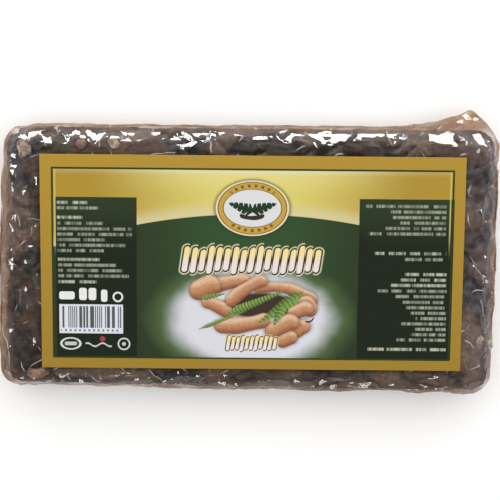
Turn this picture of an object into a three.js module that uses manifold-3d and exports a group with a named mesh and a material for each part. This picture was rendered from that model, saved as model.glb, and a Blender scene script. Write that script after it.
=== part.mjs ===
// A slab of pressed tamarind pulp in a clear film wrap, with a printed label stuck on its face.
// It lies on its back: X runs along the slab, +Y towards its upper long edge, +Z out of the label.
// Millimetres throughout.
import * as THREE from 'three';
import { ImprovedNoise } from 'three/addons/math/ImprovedNoise.js';
import { mergeVertices } from 'three/addons/utils/BufferGeometryUtils.js';
import Module from 'manifold-3d';

const wasm = await Module();
wasm.setup();

// The wrapped slab, over the film.
const WRAP_LENGTH = 187.2;
const WRAP_WIDTH = 101.4;
const WRAP_HEIGHT = 22.6;
const EDGE_ROUND = 9;
const LEFT_END_LEAN = 1.9;
const RIGHT_END_EXTRA_WIDTH = 1.2;
const SLAB_GRID = [30, 17, 5];

// The film and what lies under it.
const FILM_WALL = 0.4;
const CLEARANCE = 0.3;
const RIM_STAND_OFF = 1.6;
const LUMP_SIZE = 17;
const LUMP_DEPTH = 0.9;
const PULP_LUMP_SIZE = 7;
const PULP_LUMP_DEPTH = 0.5;

// The label.
const LABEL_LENGTH = 157;
const LABEL_WIDTH = 80;
const LABEL_THICKNESS = 0.25;
const LABEL_CORNER = 0.8;
const LABEL_CENTRE = new THREE.Vector2(1.6, -0.5);

// The overlap along the back, where the film's free edge lies over its start.
const LAP_LENGTH = 150;
const LAP_Y = 14;
const LAP_SLANT = 2.4;
const LAP_GAP = 0.3;

// The corner of film that stands out at the upper right, and the folded flap on each end.
const EAR_THICKNESS = 0.8;
const EAR_Z = 11.2;
const EAR_OUTLINE = [[64, 46], [70, 52.6], [82.6, 57.7], [91.6, 48.4], [86, 40]];
const FLAP_THICKNESS = 0.8;
const FLAP_PROUD = 0.35;
const FLAP_OUTLINE = [[-37, 6.6], [37, 6.6], [31, 16], [-31, 16]];

// Bits of shell and seed coat pressed into the surface: middle, length, width and turn in degrees.
const CHIPS = [
  { at: [89.0, -29.5], size: [4.6, 3.9], turn: 75 },
  { at: [-50.2, 44.3], size: [5.0, 4.0], turn: 30 },
  { at: [-83.4, 41.2], size: [7.2, 2.6], turn: 66 },
  { at: [-62.0, 43.9], size: [4.4, 3.2], turn: -20 },
  { at: [-79.4, -44.0], size: [9.6, 4.2], turn: 12 },
];
const CHIP_OUTLINE = [[-0.5, -0.18], [-0.12, -0.5], [0.42, -0.38], [0.5, 0.12], [0.14, 0.5], [-0.36, 0.4]];
const CHIP_BOTTOM = 2.9;
const CHIP_CUT_ABOVE = 1;

const HALF = new THREE.Vector3(WRAP_LENGTH / 2, WRAP_WIDTH / 2, WRAP_HEIGHT / 2);
const MID_Z = WRAP_HEIGHT / 2;
const noise = new ImprovedNoise();

function material(name, color, roughness) {
  return new THREE.MeshStandardMaterial({ name, color, roughness, metalness: 0 });
}

const PULP = material('tamarind_pulp', 0x3a2a22, 0.55);
const CHIP = material('shell_chip', 0xb49a7c, 0.7);
const LABEL = material('printed_label', 0x3f5a30, 0.4);
const FILM = material('clear_film', 0xcdbfae, 0.15);
FILM.transparent = true;
FILM.opacity = 0.35;

// Moves every vertex of a geometry by a function that changes a point in place.
function moveVertices(geometry, move) {
  const points = geometry.attributes.position;
  const point = new THREE.Vector3();
  for (let i = 0; i < points.count; i += 1) {
    point.fromBufferAttribute(points, i);
    move(point, i);
    points.setXYZ(i, point.x, point.y, point.z);
  }
  return geometry;
}

// Grid lines lie closer together near the edges, where the surface turns.
function crowd(t) {
  return t * (1.25 - 0.25 * t * t);
}

// Turns the square corner that two lengths u and v span into a round one.
function roundOff(u, v) {
  const reach = Math.max(Math.abs(u), Math.abs(v));
  const length = Math.hypot(u, v) || 1;
  return [(u / length) * reach, (v / length) * reach];
}

// A point of the unit box, taken to the slab: corners rounded in plan, then edges from face to side.
function roundSlab(p) {
  const x = crowd(p.x) * HALF.x;
  const y = crowd(p.y) * HALF.y;
  const z = crowd(p.z) * HALF.z;
  const innerX = THREE.MathUtils.clamp(x, EDGE_ROUND - HALF.x, HALF.x - EDGE_ROUND);
  const innerY = THREE.MathUtils.clamp(y, EDGE_ROUND - HALF.y, HALF.y - EDGE_ROUND);
  const innerZ = THREE.MathUtils.clamp(z, EDGE_ROUND - HALF.z, HALF.z - EDGE_ROUND);
  const [planX, planY] = roundOff(x - innerX, y - innerY);
  const out = Math.hypot(planX, planY);
  const [side, rise] = roundOff(out, z - innerZ);
  const share = out > 0 ? side / out : 0;
  p.set(innerX + planX * share, innerY + planY * share, innerZ + rise + MID_Z);
}

// The slab isn't quite square: its left end leans and its right end is a little wider.
function settle(p) {
  const across = p.y / HALF.y;
  const leftness = (1 - p.x / HALF.x) / 2;
  const lower = Math.max(-across, 0);
  p.x += leftness * across * LEFT_END_LEAN;
  p.y -= lower * (p.x / HALF.x) * RIGHT_END_EXTRA_WIDTH;
}

// 0 under the label and on the flat back, 1 on the sides and the bare strips of the face.
function bareness(p) {
  const pastEnd = Math.abs(p.x - LABEL_CENTRE.x) - LABEL_LENGTH / 2;
  const pastSide = Math.abs(p.y - LABEL_CENTRE.y) - LABEL_WIDTH / 2;
  const offLabel = THREE.MathUtils.smoothstep(Math.max(pastEnd, pastSide), 1, 7);
  const offBack = THREE.MathUtils.smoothstep(p.z, 1.5, EDGE_ROUND);
  return offLabel * offBack;
}

function lump(p, size) {
  return 0.5 + 0.5 * noise.noise(p.x / size, p.y / size, p.z / size);
}

// A copy of a skin with each vertex moved inwards along its normal.
function shrink(skin, depth) {
  const normals = skin.attributes.normal;
  const normal = new THREE.Vector3();
  const inner = moveVertices(skin.clone(), (p, i) => {
    normal.fromBufferAttribute(normals, i);
    p.addScaledVector(normal, -depth(p, normal));
  });
  inner.computeVertexNormals();
  return inner;
}

function makeSkin() {
  const box = new THREE.BoxGeometry(2, 2, 2, ...SLAB_GRID);
  box.deleteAttribute('normal');
  box.deleteAttribute('uv');
  const skin = moveVertices(mergeVertices(box), roundSlab);
  moveVertices(skin, settle);
  skin.computeVertexNormals();
  return shrink(skin, (p) => bareness(p) * lump(p, LUMP_SIZE) * LUMP_DEPTH);
}

function toSolid(geometry) {
  const bare = geometry.clone();
  bare.deleteAttribute('normal');
  bare.deleteAttribute('uv');
  const merged = mergeVertices(bare);
  return new wasm.Manifold(new wasm.Mesh({
    numProp: 3,
    vertProperties: new Float32Array(merged.attributes.position.array),
    triVerts: new Uint32Array(merged.index.array),
  }));
}

function toGeometry(solid) {
  const { vertProperties, triVerts } = solid.getMesh();
  const geometry = new THREE.BufferGeometry();
  geometry.setAttribute('position', new THREE.BufferAttribute(vertProperties, 3));
  geometry.setIndex(new THREE.BufferAttribute(triVerts, 1));
  geometry.computeVertexNormals();
  return geometry;
}

// A plate of one outline, its lower face at z = 0.
function plate(outline, thickness) {
  const shape = new THREE.Shape(outline.map(([x, y]) => new THREE.Vector2(x, y)));
  return new THREE.ExtrudeGeometry(shape, { depth: thickness, bevelEnabled: false });
}

function makeEar() {
  return plate(EAR_OUTLINE, EAR_THICKNESS).translate(0, 0, EAR_Z - EAR_THICKNESS / 2);
}

// The end flap is drawn flat, across and up, then stood against the end on the given side.
function makeFlap(side) {
  const flap = plate(FLAP_OUTLINE, FLAP_THICKNESS);
  flap.rotateX(Math.PI / 2);
  flap.rotateZ(Math.PI / 2);
  const inset = side > 0 ? FLAP_THICKNESS - FLAP_PROUD : FLAP_PROUD;
  flap.translate(side * HALF.x - inset, 0, 0);
  return moveVertices(flap, settle);
}

// The gap under the film's free edge: a thin slanted slot along the back.
function makeLapGap() {
  const reach = FILM_WALL + CLEARANCE;
  const run = LAP_SLANT / 2;
  const slot = plate([
    [LAP_Y - run - LAP_GAP, -reach / 2],
    [LAP_Y - run, -reach / 2],
    [LAP_Y + run, reach],
    [LAP_Y + run - LAP_GAP, reach],
  ], LAP_LENGTH);
  slot.rotateX(Math.PI / 2);
  slot.rotateZ(Math.PI / 2);
  return slot.translate(-LAP_LENGTH / 2, 0, 0);
}

function makeFilm(skin) {
  const outside = [makeEar(), makeFlap(1), makeFlap(-1)].reduce(
    (whole, piece) => whole.add(toSolid(piece)),
    toSolid(skin),
  );
  const cavity = toSolid(shrink(skin, () => FILM_WALL));
  return outside.subtract(cavity).subtract(toSolid(makeLapGap()));
}

// The pulp stands further from the film at the sides, where the wrap isn't pulled tight.
function makePulp(skin) {
  return toSolid(shrink(skin, (p, normal) => {
    const sideways = 1 - Math.abs(normal.z);
    const lumps = bareness(p) * lump(p, PULP_LUMP_SIZE) * PULP_LUMP_DEPTH;
    return FILM_WALL + CLEARANCE + sideways * RIM_STAND_OFF + lumps;
  }));
}

// The wrap's surface above a place on the face, and which way it faces there.
function faceAt(x, y) {
  const past = new THREE.Vector2(
    Math.max(Math.abs(x) - HALF.x + EDGE_ROUND, 0) * Math.sign(x),
    Math.max(Math.abs(y) - HALF.y + EDGE_ROUND, 0) * Math.sign(y),
  );
  const rise = Math.sqrt(EDGE_ROUND ** 2 - Math.min(past.lengthSq(), (0.9 * EDGE_ROUND) ** 2));
  return {
    point: new THREE.Vector3(x, y, WRAP_HEIGHT - EDGE_ROUND + rise),
    normal: new THREE.Vector3(past.x, past.y, rise).normalize(),
  };
}

// A chip's cutter, or with room around it the cutter of its seat.
function chipCutter({ at, size, turn }, room) {
  const outline = CHIP_OUTLINE.map(([u, v]) => [u * (size[0] + 2 * room), v * (size[1] + 2 * room)]);
  const depth = CHIP_BOTTOM + room;
  const cutter = plate(outline, depth + CHIP_CUT_ABOVE);
  cutter.translate(0, 0, -depth);
  cutter.rotateZ(THREE.MathUtils.degToRad(turn));
  const { point, normal } = faceAt(...at);
  const tilt = new THREE.Quaternion().setFromUnitVectors(new THREE.Vector3(0, 0, 1), normal);
  cutter.applyQuaternion(tilt);
  cutter.translate(...point.toArray());
  return toSolid(cutter);
}

function makeLabel() {
  const halfX = LABEL_LENGTH / 2;
  const halfY = LABEL_WIDTH / 2;
  const shape = new THREE.Shape();
  const corners = [[halfX, halfY, 0], [-halfX, halfY, 1], [-halfX, -halfY, 2], [halfX, -halfY, 3]];
  for (const [x, y, quarter] of corners) {
    const start = (quarter * Math.PI) / 2;
    const middleX = x - Math.sign(x) * LABEL_CORNER;
    const middleY = y - Math.sign(y) * LABEL_CORNER;
    shape.absarc(middleX, middleY, LABEL_CORNER, start, start + Math.PI / 2, false);
  }
  shape.closePath();
  const sheet = new THREE.ExtrudeGeometry(shape, {
    depth: LABEL_THICKNESS,
    bevelEnabled: false,
    curveSegments: 4,
  });
  return sheet.translate(LABEL_CENTRE.x, LABEL_CENTRE.y, WRAP_HEIGHT + CLEARANCE);
}

const part = new THREE.Group();
part.name = 'wrapped_tamarind_pulp_block';

function addPiece(name, geometry, finish) {
  const piece = new THREE.Mesh(geometry, finish.clone());
  piece.name = name;
  part.add(piece);
}

const skin = makeSkin();
const wholePulp = makePulp(skin);
let seatedPulp = wholePulp;
CHIPS.forEach((chip, index) => {
  const bit = wholePulp.intersect(chipCutter(chip, 0));
  seatedPulp = seatedPulp.subtract(chipCutter(chip, CLEARANCE));
  addPiece(`shell_chip_${index + 1}`, toGeometry(bit), CHIP);
});
addPiece('pulp_block', toGeometry(seatedPulp), PULP);
addPiece('film_wrap', toGeometry(makeFilm(skin)), FILM);
addPiece('label', makeLabel(), LABEL);

// The origin is the middle of the underside of the whole part's box.
const bounds = new THREE.Box3().setFromObject(part);
const centre = bounds.getCenter(new THREE.Vector3());
part.position.set(-centre.x, -centre.y, -bounds.min.z);

export default part;
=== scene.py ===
"""A slab of pressed tamarind pulp in clear film with a printed label: an add-on that is run as a script."""

import math

import bpy
import numpy as np
from bpy.props import FloatProperty, FloatVectorProperty, IntProperty, PointerProperty
from mathutils import Matrix, Vector, noise


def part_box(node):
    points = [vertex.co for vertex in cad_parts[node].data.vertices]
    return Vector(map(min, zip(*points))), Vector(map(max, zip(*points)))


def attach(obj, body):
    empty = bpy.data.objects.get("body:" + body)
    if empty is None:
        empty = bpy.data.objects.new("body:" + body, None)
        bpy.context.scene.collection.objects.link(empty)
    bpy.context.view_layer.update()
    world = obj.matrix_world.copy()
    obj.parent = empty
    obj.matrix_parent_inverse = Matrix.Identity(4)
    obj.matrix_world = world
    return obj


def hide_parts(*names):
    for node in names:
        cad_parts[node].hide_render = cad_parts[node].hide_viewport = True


bl_info = {
    "name": "Wrapped tamarind pulp block",
    "version": (1, 0, 0),
    "blender": (4, 5, 0),
    "location": "View3D > Sidebar > Tamarind block",
    "description": "Builds a film-wrapped slab of pressed tamarind pulp with its printed label",
    "category": "Add Mesh",
}

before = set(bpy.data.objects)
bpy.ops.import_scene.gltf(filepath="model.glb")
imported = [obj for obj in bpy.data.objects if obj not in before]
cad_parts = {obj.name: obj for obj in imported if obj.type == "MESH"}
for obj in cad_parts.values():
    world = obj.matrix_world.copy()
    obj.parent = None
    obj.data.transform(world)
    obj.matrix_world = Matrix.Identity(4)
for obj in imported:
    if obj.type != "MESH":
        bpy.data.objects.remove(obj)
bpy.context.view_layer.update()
MM = 0.001
LABEL_LOW, LABEL_HIGH = (Vector(corner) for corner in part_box("label"))
LABEL_MIDDLE = (LABEL_LOW + LABEL_HIGH) / 2
FILM_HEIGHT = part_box("film_wrap")[1][2]
CHIP_NODES = [name for name in sorted(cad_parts) if name.startswith("shell_chip")]


# Sizes and colours that a user would change


class SlabSettings(bpy.types.PropertyGroup):
    length: FloatProperty(
        name="Length", description="Length of the wrapped slab", default=0.1872, unit="LENGTH"
    )
    width: FloatProperty(
        name="Width", description="Width of the wrapped slab", default=0.1014, unit="LENGTH"
    )
    edge_round: FloatProperty(
        name="Edge rounding", description="Radius from the faces into the sides",
        default=0.009, unit="LENGTH"
    )
    end_lean: FloatProperty(
        name="End lean", description="How far the left end leans at its corners",
        default=0.0019, unit="LENGTH"
    )
    end_extra: FloatProperty(
        name="Extra width", description="How much wider the right end is, on its lower side",
        default=0.0012, unit="LENGTH"
    )
    label_offset: FloatVectorProperty(
        name="Label offset", description="Middle of the label from the middle of the slab",
        size=2, default=(0.0016, -0.0005), unit="LENGTH"
    )


class PulpSettings(bpy.types.PropertyGroup):
    inset: FloatProperty(
        name="Inset at the sides", description="Room between the film and the pulp's sides",
        default=0.0009, unit="LENGTH"
    )
    inset_faces: FloatProperty(
        name="Inset at the faces", description="Room between the film and the pulp's faces",
        default=0.0012, unit="LENGTH"
    )
    cell: FloatProperty(
        name="Mesh cell", description="Size of the pulp's faces", default=0.00085, unit="LENGTH"
    )
    lump: FloatProperty(
        name="Lump size", description="Distance between big lumps", default=0.0105, unit="LENGTH"
    )
    lump_depth: FloatProperty(
        name="Crevice depth", description="Depth of the crevices between big lumps",
        default=0.0015, unit="LENGTH"
    )
    crumb: FloatProperty(
        name="Crumb size", description="Distance between small crumbs", default=0.0034, unit="LENGTH"
    )
    crumb_depth: FloatProperty(
        name="Crumb depth", description="Depth between small crumbs", default=0.0006, unit="LENGTH"
    )
    dark: FloatVectorProperty(
        name="Dark pulp", description="Colour in the crevices",
        subtype="COLOR", default=(0.009, 0.006, 0.004)
    )
    brown: FloatVectorProperty(
        name="Brown pulp", description="Colour of the lumps",
        subtype="COLOR", default=(0.080, 0.048, 0.029)
    )
    tan: FloatVectorProperty(
        name="Tan bits", description="Colour of fibre and shell crumbs",
        subtype="COLOR", default=(0.27, 0.17, 0.10)
    )


class FilmSettings(bpy.types.PropertyGroup):
    thickness: FloatProperty(
        name="Thickness", description="Thickness of the film", default=0.00006, unit="LENGTH"
    )
    cell: FloatProperty(
        name="Mesh cell", description="Size of the film's faces before folding",
        default=0.00095, unit="LENGTH"
    )
    crumple: FloatProperty(
        name="Crumple", description="Depth of the film's folds", default=0.0011, unit="LENGTH"
    )
    fold_height: FloatProperty(
        name="Fold height", description="Height of the sharp folds", default=0.0013, unit="LENGTH"
    )
    facets: FloatProperty(
        name="Facet share", description="Share of faces kept when the folds are made flat facets",
        default=0.085, min=0.02, max=1
    )
    ear: FloatProperty(
        name="Ear", description="How far the upper right corner of film stands out",
        default=0.0068, unit="LENGTH"
    )
    smear: FloatVectorProperty(
        name="Smear", description="Tint of film that pulp has smeared",
        subtype="COLOR", default=(0.80, 0.64, 0.53)
    )
    seed: IntProperty(name="Seed", description="Places of the folds", default=3)
    flat: FloatVectorProperty(
        name="Flat size", description="The film's length round the slab and its width before it is wrapped",
        size=2, default=(0.267, 0.260), unit="LENGTH"
    )


class LabelSettings(bpy.types.PropertyGroup):
    thickness: FloatProperty(
        name="Thickness", description="Thickness of the label", default=0.00012, unit="LENGTH"
    )
    wave: FloatProperty(
        name="Wave", description="How far the label rises and falls with the slab",
        default=0.00012, unit="LENGTH"
    )
    gold: FloatVectorProperty(
        name="Gold", description="Colour of the border", subtype="COLOR", default=(0.40, 0.246, 0.024)
    )
    green: FloatVectorProperty(
        name="Green", description="Colour of the lower field", subtype="COLOR", default=(0.024, 0.041, 0.015)
    )


class StageSettings(bpy.types.PropertyGroup):
    distance: FloatProperty(
        name="Camera distance", description="From the camera to the slab", default=0.4365, unit="LENGTH"
    )
    tilt: FloatProperty(
        name="Camera tilt", description="How far the camera leans past the upper edge",
        default=math.radians(7.08), subtype="ANGLE"
    )
    roll: FloatProperty(
        name="Camera roll", description="Turn of the camera about its view",
        default=math.radians(0.525), subtype="ANGLE"
    )
    lens: FloatProperty(name="Lens", description="Focal length in millimetres", default=82.5)
    fill: FloatProperty(
        name="Fill light", description="Strength of the even light from above", default=2.85, min=0
    )
    floor: FloatVectorProperty(
        name="Floor", description="Colour of the floor", subtype="COLOR", default=(0.93, 0.93, 0.925)
    )


# Mesh tools


def deselect():
    """Leaves nothing selected and no piece in edit mode."""
    if bpy.context.object and bpy.context.object.mode != "OBJECT":
        bpy.ops.object.mode_set(mode="OBJECT")
    bpy.ops.object.select_all(action="DESELECT")


def choose(piece):
    """Makes a piece the only one selected."""
    deselect()
    piece.select_set(True)
    bpy.context.view_layer.objects.active = piece


def settle(piece):
    """Puts a piece's place, turn and size into its mesh."""
    choose(piece)
    bpy.ops.object.transform_apply(location=True, rotation=True, scale=True)


def finish_with(piece, kind, **values):
    """Adds a modifier with these values and applies it."""
    choose(piece)
    modifier = piece.modifiers.new(kind.lower(), kind)
    for name, value in values.items():
        setattr(modifier, name, value)
    bpy.ops.object.modifier_apply(modifier=modifier.name)


def read_points(piece, what):
    """A piece's points, or the way they face, as rows of x, y and z."""
    values = np.empty(len(piece.data.vertices) * 3)
    piece.data.vertices.foreach_get(what, values)
    return values.reshape(-1, 3)


def points_of(piece):
    return read_points(piece, "co")


def normals_of(piece):
    return read_points(piece, "normal")


def move_points(piece, points):
    piece.data.vertices.foreach_set("co", points.ravel())
    piece.data.update()


def mark_points(piece, name, values):
    """Gives a piece a value at each point that its material reads."""
    piece.data.attributes.new(name, "FLOAT", "POINT").data.foreach_set("value", values)


def ramp(value, low, high):
    """A smooth rise from 0 at low to 1 at high."""
    t = np.clip((value - low) / (high - low), 0, 1)
    return t * t * (3 - 2 * t)


def sample(points, size, function):
    """A noise function's value at each point; its pattern grows with size."""
    return np.array([function(Vector(p)) for p in points / size])


def rounded_slab(name, middle, size, radius, cell):
    """A box with its edges rounded, remeshed to even faces."""
    deselect()
    bpy.ops.mesh.primitive_cube_add(size=1, location=middle, scale=size)
    slab = bpy.context.active_object
    slab.name = name
    settle(slab)
    finish_with(slab, "BEVEL", width=radius, segments=6)
    finish_with(slab, "REMESH", mode="VOXEL", voxel_size=cell, use_smooth_shade=True)
    return slab


def slab_middle():
    """The middle of the wrapped slab in plan, at half its height."""
    offset = bpy.context.scene.tamarind_slab.label_offset
    return Vector((LABEL_MIDDLE.x - offset[0], LABEL_MIDDLE.y - offset[1], FILM_HEIGHT / 2))


def slab_size():
    slab = bpy.context.scene.tamarind_slab
    return Vector((slab.length, slab.width, FILM_HEIGHT))


def lean(points):
    """The slab isn't quite square: its left end leans and its right end is a little wider."""
    slab = bpy.context.scene.tamarind_slab
    middle = slab_middle()
    across = (points[:, 1] - middle.y) / (slab.width / 2)
    along = (points[:, 0] - middle.x) / (slab.length / 2)
    points[:, 0] += (1 - along) / 2 * across * slab.end_lean
    points[:, 1] -= np.maximum(-across, 0) * along * slab.end_extra
    return points


def shoulder_drop(points):
    """How far the slab's rounded edge lies below its face."""
    radius = bpy.context.scene.tamarind_slab.edge_round
    straight = 2 * points - lean(points.copy())
    from_middle = np.abs(straight - slab_middle())
    past = np.maximum(from_middle - slab_size() / 2 + Vector((radius, radius, radius)), 0)
    reach = np.minimum(np.hypot(past[:, 0], past[:, 1]), radius)
    return radius - np.sqrt(radius**2 - reach**2)


def from_chip(points, node_name):
    """Each point's place from the middle of a chip, in parts of the chip's size."""
    low, high = (np.array(corner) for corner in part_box(node_name))
    return (points - (low + high) / 2) / (high - low)


def near_chips(points):
    """1 over a chip, falling to 0 a little way past it."""
    near = np.zeros(len(points))
    for name in CHIP_NODES:
        away = np.linalg.norm(from_chip(points, name)[:, :2], axis=1)
        near = np.maximum(near, ramp(-away, -1.1, -0.7))
    return near * ramp(points[:, 2], FILM_HEIGHT / 2, FILM_HEIGHT)


def off_label(points, full):
    """0 under the label, rising to 1 at the full distance outside it."""
    past_end = np.maximum(LABEL_LOW.x - points[:, 0], points[:, 0] - LABEL_HIGH.x)
    past_side = np.maximum(LABEL_LOW.y - points[:, 1], points[:, 1] - LABEL_HIGH.y)
    return ramp(np.maximum(past_end, past_side), 0, full)


# Node tools


class Wire:
    """A value in a node tree, so that a pattern's formula can be written as sums."""

    def __init__(self, tree, socket):
        self.tree = tree
        self.socket = socket

    def maths(self, operation, *others, clamp=False):
        return wire(self.tree, "ShaderNodeMath", self, *others, operation=operation, use_clamp=clamp)

    def __add__(self, other):
        return self.maths("ADD", other)

    def __sub__(self, other):
        return self.maths("SUBTRACT", other)

    def __rsub__(self, other):
        return self.maths("MULTIPLY_ADD", -1.0, other)

    def __mul__(self, other):
        return self.maths("MULTIPLY", other)

    def __truediv__(self, other):
        return self.maths("DIVIDE", other)

    def size(self):
        return self.maths("ABSOLUTE")

    def least(self, other):
        return self.maths("MINIMUM", other)

    def most(self, other):
        return self.maths("MAXIMUM", other)

    def rise(self, low, high, to_low=0.0, to_high=1.0, smooth=True):
        """A smooth step from to_low at low to to_high at high."""
        step = node(self.tree, "ShaderNodeMapRange", self, low, high, to_low, to_high)
        step.interpolation_type = "SMOOTHSTEP" if smooth else "LINEAR"
        return Wire(self.tree, step.outputs[0])

    def parts(self):
        split = node(self.tree, "ShaderNodeSeparateXYZ", self)
        return [Wire(self.tree, out) for out in split.outputs]


def plug(tree, value, socket):
    if isinstance(value, Wire):
        tree.links.new(value.socket, socket)
    elif value is not None:
        if hasattr(socket.default_value, "__len__") and len(value) < len(socket.default_value):
            value = (*value, 1.0)
        socket.default_value = value


def node(tree, kind, *values, named=None, **settings):
    """A node with its settings, its inputs fed in order and then by name."""
    made = tree.nodes.new(kind)
    for name, value in settings.items():
        setattr(made, name, value)
    for value, socket in zip(values, made.inputs):
        plug(tree, value, socket)
    for name, value in (named or {}).items():
        plug(tree, value, made.inputs[name])
    return made


def wire(tree, kind, *values, output=0, named=None, **settings):
    return Wire(tree, node(tree, kind, *values, named=named, **settings).outputs[output])


def mix(tree, amount, first, second):
    """One colour laid over another by an amount."""
    made = node(tree, "ShaderNodeMix", data_type="RGBA")
    plug(tree, amount, made.inputs[0])
    plug(tree, first, made.inputs[6])
    plug(tree, second, made.inputs[7])
    return Wire(tree, made.outputs[2])


def numbers(*names):
    """Inputs that are all plain numbers."""
    return dict.fromkeys(names, 0.0)


def group(name, inputs, build):
    """A node group, made when it is first used. An input with no default is a place, the others numbers."""
    if name in bpy.data.node_groups:
        return bpy.data.node_groups[name]
    tree = bpy.data.node_groups.new(name, "ShaderNodeTree")
    for label, default in inputs.items():
        kind = "NodeSocketVector" if default is None else "NodeSocketFloat"
        socket = tree.interface.new_socket(label, in_out="INPUT", socket_type=kind)
        if default is not None:
            socket.default_value = default
    start = tree.nodes.new("NodeGroupInput")
    made = build(*[Wire(tree, start.outputs[label]) for label in inputs])
    for label in made:
        tree.interface.new_socket(label, in_out="OUTPUT", socket_type="NodeSocketFloat")
    end = tree.nodes.new("NodeGroupOutput")
    for label, value in made.items():
        tree.links.new(value.socket, end.inputs[label])
    return tree


def use(tree, pattern, *values):
    """A pattern's node group placed in a tree, its inputs given in their order."""
    placed = tree.nodes.new("ShaderNodeGroup")
    placed.node_tree = group(*pattern)
    for value, socket in zip(values, placed.inputs):
        plug(tree, value, socket)
    return {out.name: Wire(tree, out) for out in placed.outputs}


def clouds(place, scale, detail=2.0, output=0):
    """Soft noise: output 0 is one value, and 1 is three of them as a colour."""
    fed = {"Vector": place, "Scale": scale, "Detail": detail}
    return wire(place.tree, "ShaderNodeTexNoise", named=fed, output=output)


def chance(value):
    """A random number from 0 to 1 that is always the same for the same value."""
    return wire(value.tree, "ShaderNodeTexWhiteNoise", None, value, noise_dimensions="1D")


def marked(tree, name, output=2):
    """What the piece's points say under a name: output 2 is a number, and 0 is a colour."""
    return wire(tree, "ShaderNodeAttribute", output=output, attribute_name=name)


def grain(place, size, detail):
    """Uneven grain at a size, given as a value and as a height; every dry surface has it."""
    scale = wire(place.tree, "ShaderNodeMath", 1.0, size, operation="DIVIDE")
    coarse = clouds(place, scale, detail)
    fine = clouds(place, scale * 5.3)
    return {"Value": (coarse * 0.7 + fine * 0.3).rise(0.3, 0.7), "Height": coarse + fine * 0.35}


GRAIN = ("Grain", {"Place": None, "Size": 0.004, "Detail": 4.0}, grain)


def new_material(name):
    """An empty material with its tree, its output and where it is on the piece."""
    material = bpy.data.materials.new(name)
    material.use_nodes = True
    tree = material.node_tree
    tree.nodes.clear()
    end = tree.nodes.new("ShaderNodeOutputMaterial")
    place = wire(tree, "ShaderNodeTexCoord", output=3)
    return material, tree, end, place


def principled(tree, end, **values):
    surface = tree.nodes.new("ShaderNodeBsdfPrincipled")
    for name, value in values.items():
        plug(tree, value, surface.inputs[name.replace("_", " ")])
    tree.links.new(surface.outputs[0], end.inputs["Surface"])


def bump(tree, height, strength, distance):
    return wire(tree, "ShaderNodeBump", named={"Height": height, "Strength": strength, "Distance": distance})


# Pulp


def pulp_material():
    settings = bpy.context.scene.tamarind_pulp
    material, tree, end, place = new_material("tamarind_pulp")
    hollow = marked(tree, "hollow")
    shade = marked(tree, "shade")
    mottle = use(tree, GRAIN, place, 0.006)
    crumbs = use(tree, GRAIN, place, 0.0016)
    stretched = wire(tree, "ShaderNodeMapping", place, None, (0.0, 0.0, 0.5), (0.35, 1.6, 1.6))
    fibres = use(tree, GRAIN, stretched, 0.0009, 2.0)
    body = (mottle["Value"] * 0.5 + shade * 0.9).rise(0.30, 1.15)
    base = mix(tree, body, tuple(settings.dark), tuple(settings.brown))
    reddish = clouds(place, 95.0).rise(0.52, 0.68)
    base = mix(tree, reddish * 0.6, base, (0.095, 0.036, 0.022))
    bits = crumbs["Height"].rise(0.80, 0.92) * shade
    base = mix(tree, bits * 0.75, base, tuple(settings.tan))
    base = mix(tree, fibres["Value"] * 0.25, base, (0.12, 0.08, 0.047))
    pale = shade.rise(0.45, 1.0) * crumbs["Value"]
    base = mix(tree, pale * 0.6, base, (0.23, 0.155, 0.10))
    # Painted shade: crevices, pits and the low places between swells are darkened almost to black.
    base = mix(tree, hollow.rise(0.15, 0.9) * 0.75, base, (0.006, 0.004, 0.003))
    height = crumbs["Height"] * 0.7 + fibres["Height"] * 0.3
    principled(
        tree,
        end,
        Base_Color=base,
        Roughness=mottle["Value"].rise(0.0, 1.0, 0.40, 0.65),
        Normal=bump(tree, height, 0.55, 0.0006),
        Specular_IOR_Level=0.25,
    )
    return material


# Darker and paler places in the pulp: x and y from the middle of the slab, radius across and along, all in
# millimetres, and the change, which is darker below 0 and paler above it.
PULP_ZONES = [
    (-80, -30, 8.5, 15, -1.7),
    (-84, 12, 8, 11, 0.6),
    (-79, -16.5, 4.5, 3, 0.9),
    (-86, 35, 8, 7, -0.5),
    (-30, 42, 15, 4, -0.7),
    (-10, 40, 6, 5, 0.5),
    (28, 42, 20, 4, -0.6),
    (60, 43, 8, 5, 0.4),
    (86, 30, 6, 10, -0.5),
    (84, -30, 7, 14, 0.8),
    (85, 0, 6, 9, -0.2),
    (-60, -46, 12, 5, 0.6),
    (-25, -46, 14, 5, -0.5),
    (20, -46, 16, 5, 0.5),
    (60, -46, 16, 5, 0.7),
]


# How large the pulp's patterns are: its dark and pale patches, the bends of its lumps, its flattened
# places, its broad swells and its strands.
PATCH_SIZE = 0.012
BEND_SIZE = 0.009
FLAT_SIZE = 0.013
SWELL_SIZE = 0.007
STRAND_SIZE = 0.0032
# How far the lumps are bent, and how far the pulp sinks between swells, between strands and under a chip.
BEND = 0.0045
SWELL_DEPTH = 0.0006
STRAND_DEPTH = 0.0005
CHIP_DENT = 0.0012


def pulp_shade(points):
    """From 0 in the darkest places to 1 in the palest."""
    from_middle = (points - slab_middle()) / MM
    shade = 0.5 + 0.55 * sample(points, PATCH_SIZE, noise.noise)
    for x, y, radius_x, radius_y, change in PULP_ZONES:
        away = np.hypot((from_middle[:, 0] - x) / radius_x, (from_middle[:, 1] - y) / radius_y)
        shade += 0.5 * change * ramp(-away, -1.4, -0.3)
    return np.clip(shade, 0, 1)


def edges_of(cells, size):
    """0 on the edges between cells of this size, rising towards their middles."""
    nearest = np.array([noise.voronoi(Vector(p))[0][:2] for p in cells / size])
    return nearest[:, 1] - nearest[:, 0]


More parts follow.
